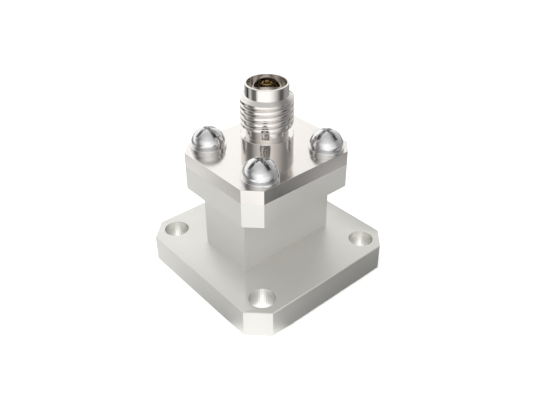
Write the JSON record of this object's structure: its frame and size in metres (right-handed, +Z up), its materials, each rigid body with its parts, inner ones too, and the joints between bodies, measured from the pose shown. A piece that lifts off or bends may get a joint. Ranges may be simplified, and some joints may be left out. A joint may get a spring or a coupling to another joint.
{
  "type": "waveguide adapter",
  "caption": "End-launch adapter from a rectangular waveguide with a square flange to a threaded coaxial jack on a polished, screwed-on plate.",
  "frame": {"origin": "centre of the waveguide flange's mating face", "axes": "+Z up the common axis of waveguide and jack, away from the flange face; +X along the broad side of the waveguide; the stepped ridge sits on the +Y broad wall"},
  "size_m": [0.0222, 0.0222, 0.0243],
  "materials": {
    "blasted_aluminium": "satin blasted, clear plated",
    "milled_aluminium": "milled",
    "polished_steel": "polished",
    "plated_brass": "gold plated",
    "bead_plastic": "machined",
    "sleeve_plastic": "waxy",
    "screw_steel": "bright"
  },
  "bodies": {
    "root": {"waveguide_body": "blasted_aluminium", "ridge_transformer": "milled_aluminium", "connector_shell": "polished_steel", "retaining_bushing": "plated_brass", "support_bead": "bead_plastic", "rear_dielectric": "sleeve_plastic", "socket_contact": "plated_brass", "feed_pin": "plated_brass", "plate_screws": "screw_steel"}
  },
  "joints": []
}
